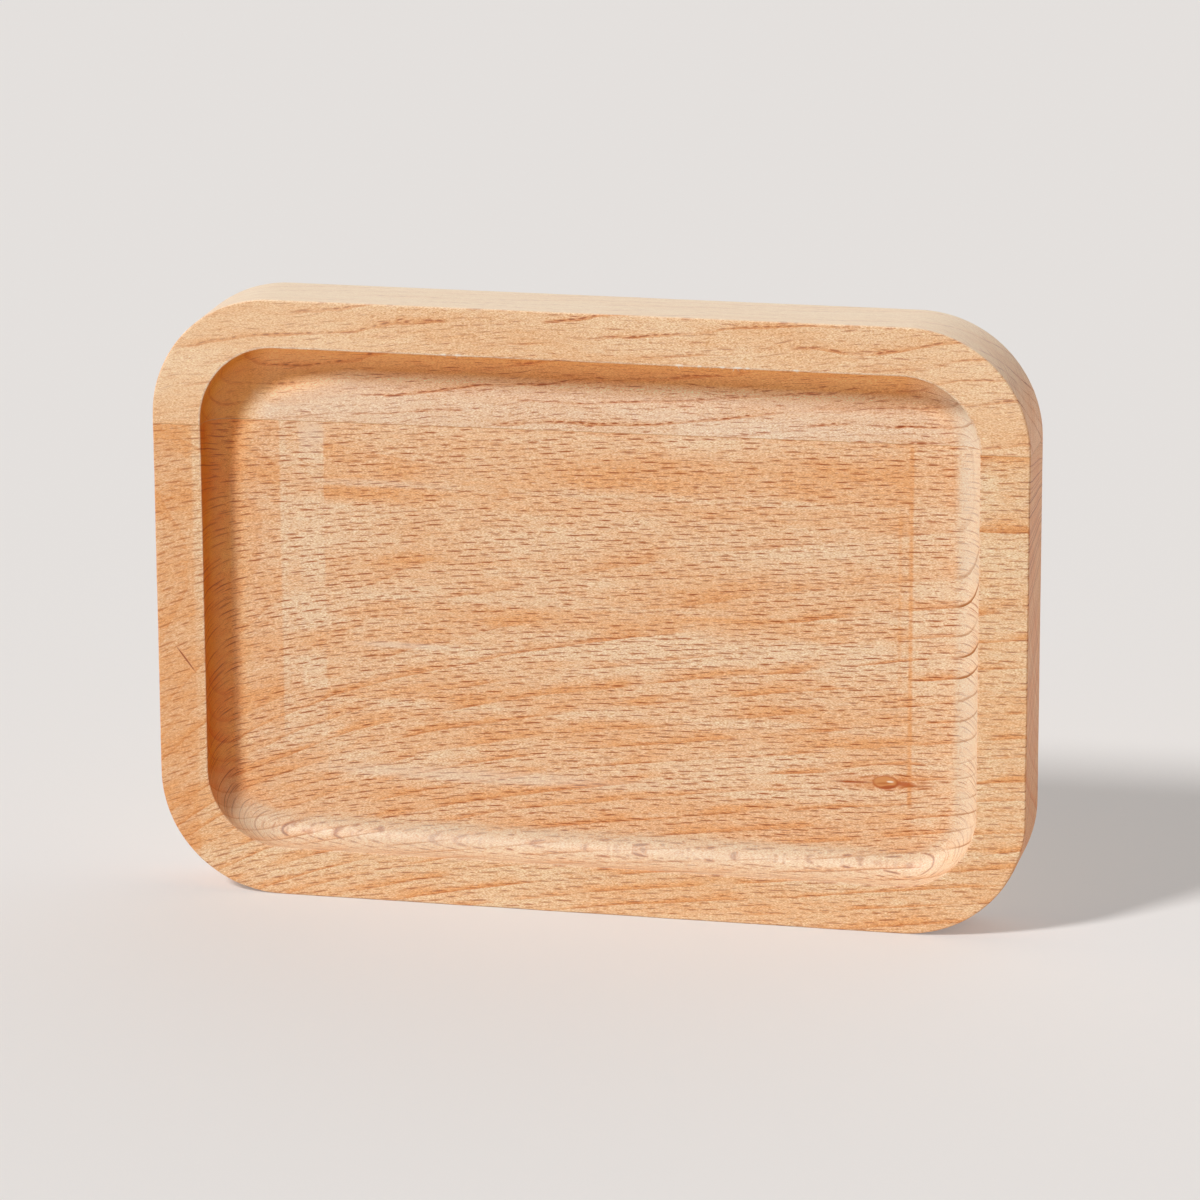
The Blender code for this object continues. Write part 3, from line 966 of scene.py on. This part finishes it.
# Steamed beech, sawn near the pith: pinker to the eye, and dense with dark dashes
lower_beech, lower_colour = steamed_beech(
    "steamed_beech_near_pith", ("#F4D2AB", "#EEAE73", "#CC7432", "#8E3C08"),
    pith=(102.9, 0.116, 57, 13), years=lower_years, late_from=2, waves=(3, 0.5, 75), ray_climb=0.035,
    sheets=((4.4, 1.5, 0.8, 2, 0.118, 0.76, 1), (2.6, 0.95, 0.35, 1.05, 0.098, 0.5, 0.6), FINE_RAYS),
    beads=(), chained=0.15, seed=8, left_end=(14, 4, 0.1),
)

# What milling did to the pocket floor, as a change of the wood's tone. The cutter ran to and fro in passes:
# one that ran against the grain raised the fibres and left them paler, and each left a fuzzy pale line
# along its lower side. PASS_TONES gives the floor's tone down the passes: height in mm, and tone, from 0,
# pale, to 1, tan.
PASS_TONES = (
    (119, 0.7), (117.5, 0.5), (114, 0.7), (110, 1), (105, 1.1), (103.1, 0.4), (102.3, 1.05), (99, 0.9),
    (97.5, 0.45), (90, 0.4), (84.5, 0.8), (82.5, 0.45), (77, 0.4), (75.4, 0.1), (74, 0.8), (71, 0.8),
    (69, 0.25), (62.5, 0.1), (61, 0.6), (50, 0.6), (48.3, 0), (46, 0.8), (42.5, 0.75), (38, 0.35),
    (32, 0.05), (30.5, -0.15), (29, 0.55), (24, 0.6), (18, 0.5),
)
PASS_DEPTH_OF_TONE = 0.6
PASS_BLUR = 0.5

# The knot: its middle, how far along and across the grain it pushes the wood aside, and how much
KNOT_X = 72.1
KNOT_Z = 35.5
PUSHED_ALONG = 9
PUSHED_ACROSS = 4
KNOT_PUSH = 0.8

tree = lower_beech.node_tree
from_knot = add(tree, "VectorMath", MINUS, {0: tree.nodes["place"], 1: (KNOT_X, 0, KNOT_Z)})
near_knot = add(tree, "VectorMath", TIMES, {0: from_knot, 1: (1 / PUSHED_ALONG, 0, 1 / PUSHED_ACROSS)})
far_out = add(tree, "VectorMath", {"operation": "DOT_PRODUCT"}, {0: near_knot, 1: near_knot})
fading = add(tree, "Math", TIMES, {0: far_out.outputs["Value"], 1: -1})
pushed = add(tree, "Math", {"operation": "EXPONENT"}, {0: fading})
towards = add(tree, "VectorMath", TIMES, {0: from_knot, 1: (0, 0, -KNOT_PUSH)})
aside = add(tree, "VectorMath", {"operation": "SCALE"}, {0: towards, "Scale": pushed})
tree.links.new(aside.outputs[0], tree.nodes["flow"].inputs[1])
spot = add(tree, "SeparateXYZ", {}, {0: tree.nodes["place"]})
run, height = spot.outputs["X"], spot.outputs["Z"]
on_floor = add(tree, "Math", {"operation": "COMPARE"}, {0: spot.outputs["Y"], 1: FLOOR_Y, 2: FLAT_WITHIN})
top, bottom = PASS_TONES[0][0], PASS_TONES[-1][0]
down = add(tree, "MapRange", {}, {"Value": height, "From Min": top, "From Max": bottom})
passes = add(tree, "FloatCurve", {}, {"Value": down})
draw_curve(passes, [((top - level) / (top - bottom), shade) for level, shade in PASS_TONES])
about_none = {0: passes, 1: PASS_DEPTH_OF_TONE, 2: -PASS_DEPTH_OF_TONE / 2}
swing = add(tree, "Math", TIMES_PLUS, about_none)
swept = band(tree, run, PASS_LEFT / MM, PASS_RIGHT / MM, PASS_BLUR)
marks = all_of(tree, swing, swept)

# Where it turned round at the ends of the passes it left upright marks: their left and right sides and
# their lower and upper ends in mm, and how much tanner or paler they are
UPRIGHT_MARKS = (
    (-77.9, -66.9, 37, 119, -0.15), (-77.9, -76.3, 37, 119, -0.15), (-73, -66.9, 108.8, 115.6, -0.3),
    (-73, -66.9, 78, 86.9, -0.3), (-73, -66.9, 66.9, 73, -0.3), (-73, -66.9, 51.3, 58.8, -0.25),
    (-90, -77.9, 40, 119, 0.2), (-67, -48, 99.5, 102.3, 0.35), (77.5, 78.4, 30, 119, 0.55),
    (74.9, 75.7, 60, 102, 0.3), (78.4, 90, 20, 119, -0.2),
)


def oblongs(tree, tone, places, side_blur, end_blur):
    """Changes a tone in upright oblongs, given as in UPRIGHT_MARKS."""
    for left, right, low, high, change in places:
        wide = band(tree, run, left, right, side_blur)
        tall = band(tree, height, low, high, end_blur)
        there = all_of(tree, wide, tall)
        tone = add(tree, "Math", TIMES_PLUS, {0: there, 1: change, 2: tone})
    return tone


marks = oblongs(tree, marks, UPRIGHT_MARKS, side_blur=0.8, end_blur=2)
on_the_floor = all_of(tree, marks, on_floor)

# The rim's tones, in the same terms: brown at the left end but for a paler strip beside the pocket, paler
# along the bottom, and paler at the top of the right end
RIM_TONES = (
    (-108, -97.8, 0, 119, 0.25), (-97.8, -95, 70, 119, -0.2), (-90, 108, 0, 12.5, -0.1),
    (95, 108, 82, 119, -0.3),
)
rim_tone = oblongs(tree, 0, RIM_TONES, side_blur=1.2, end_blur=1.5)
on_face = add(tree, "Math", {"operation": "COMPARE"}, {0: spot.outputs["Y"], 1: FACE_Y, 2: FLAT_WITHIN})
of_both = add(tree, "Math", TIMES_PLUS, {0: rim_tone, 1: on_face, 2: on_the_floor})
tree.links.new(of_both.outputs[0], tree.nodes["marks"].inputs[1])

# Blemishes of the lower stave: the knot with its ring, heart and tails and a painted highlight of gloss on
# it, a gum streak on the left rim, pips in the bottom cove, and fuzzy pale places on the floor. Each is as
# in blemish.
BLEMISHES = (
    (-104, 58, 8, 64, 0, 0.5, "#DC8238", 0.2),
    (70.5, 35.3, 11, 1.5, 0, 1.5, "#E08838", 0.55),
    (64, 35.2, 4.6, 0.28, 1, 1, "#A8480C", 0.8),
    (76.3, 35.4, 2.8, 0.6, -2, 1.1, "#B85410", 0.85),
    (80.8, 35, 3.6, 0.25, 4, 1, "#B05A20", 0.6),
    (KNOT_X, KNOT_Z, 3.2, 1.75, 0, 0.25, "#B9560F", 0.85),
    (KNOT_X - 0.1, KNOT_Z + 0.15, 2.7, 1.35, 0, 0.4, "#E09C5C", 0.85),
    (KNOT_X - 0.5, KNOT_Z - 0.25, 1.7, 0.3, 4, 0.9, "#C06A28", 0.75),
    (KNOT_X + 0.7, KNOT_Z - 1.1, 2, 0.4, 8, 0.8, "#AE4C0A", 0.85),
    # A painted highlight: a pale glint of gloss on the knot
    (KNOT_X + 1.2, KNOT_Z + 0.25, 0.8, 0.22, 0, 0.7, "#FFF0DC", 0.85),
    (-100.5, 59, 3.7, 0.2, -53, 0.8, "#983408", 0.85),
    (-76.2, 16, 0.9, 0.8, 0, 0.9, "#B5602E", 0.75),
    (-53.7, 16, 0.9, 0.8, 0, 0.9, "#B0582A", 0.8),
    (66, 16, 1, 0.7, 0, 0.9, "#C07848", 0.7),
    (-64, 15.5, 0.8, 0.7, 0, 0.9, "#D09A70", 0.5),
    (-47.5, 63.2, 11, 0.7, 0, 1.2, "#F6E2CC", 0.4),
    (-29, 31, 38, 1.6, 0, 1.2, "#F6E2CC", 0.3),
    (-54, 103.8, 17, 0.8, 0, 1.4, "#F6E2CC", 0.15),
    (-70, 115, 3, 4, 0, 1.2, "#F6E2CC", 0.3),
)
lower_colour = blemish(tree, lower_colour, BLEMISHES)
oil_with_painted_light(lower_beech, lower_colour, (1.01, 1.01, 0.97), (0.94, 0.61, 0.35))

lower_mesh = milled_board()
saw(lower_mesh, joint_left - film, joint_right - film, keep=-1)
show("lower_stave_wood", lower_mesh, lower_beech, "lower_stave")

# The glue line: what is left of the wood glue between the staves, cured to a thin brown film and milled and
# sanded flush with them, so that it shows as a hair line across the rims and the pocket floor.
CURED_GLUE = "#CD9462"

# Cured wood glue: a brown film, as smooth as the oiled wood beside it
glue, _, glue_shader = new_material("cured_wood_glue")
glue_shader.inputs["Base Color"].default_value = from_hex(CURED_GLUE)
glue_shader.inputs["Roughness"].default_value = OILED_ROUGHNESS
glue_mesh = milled_board()
saw(glue_mesh, joint_left, joint_right, keep=-1)
saw(glue_mesh, joint_left - film, joint_right - film, keep=1)
show("glue_film", glue_mesh, glue, "glue_line")
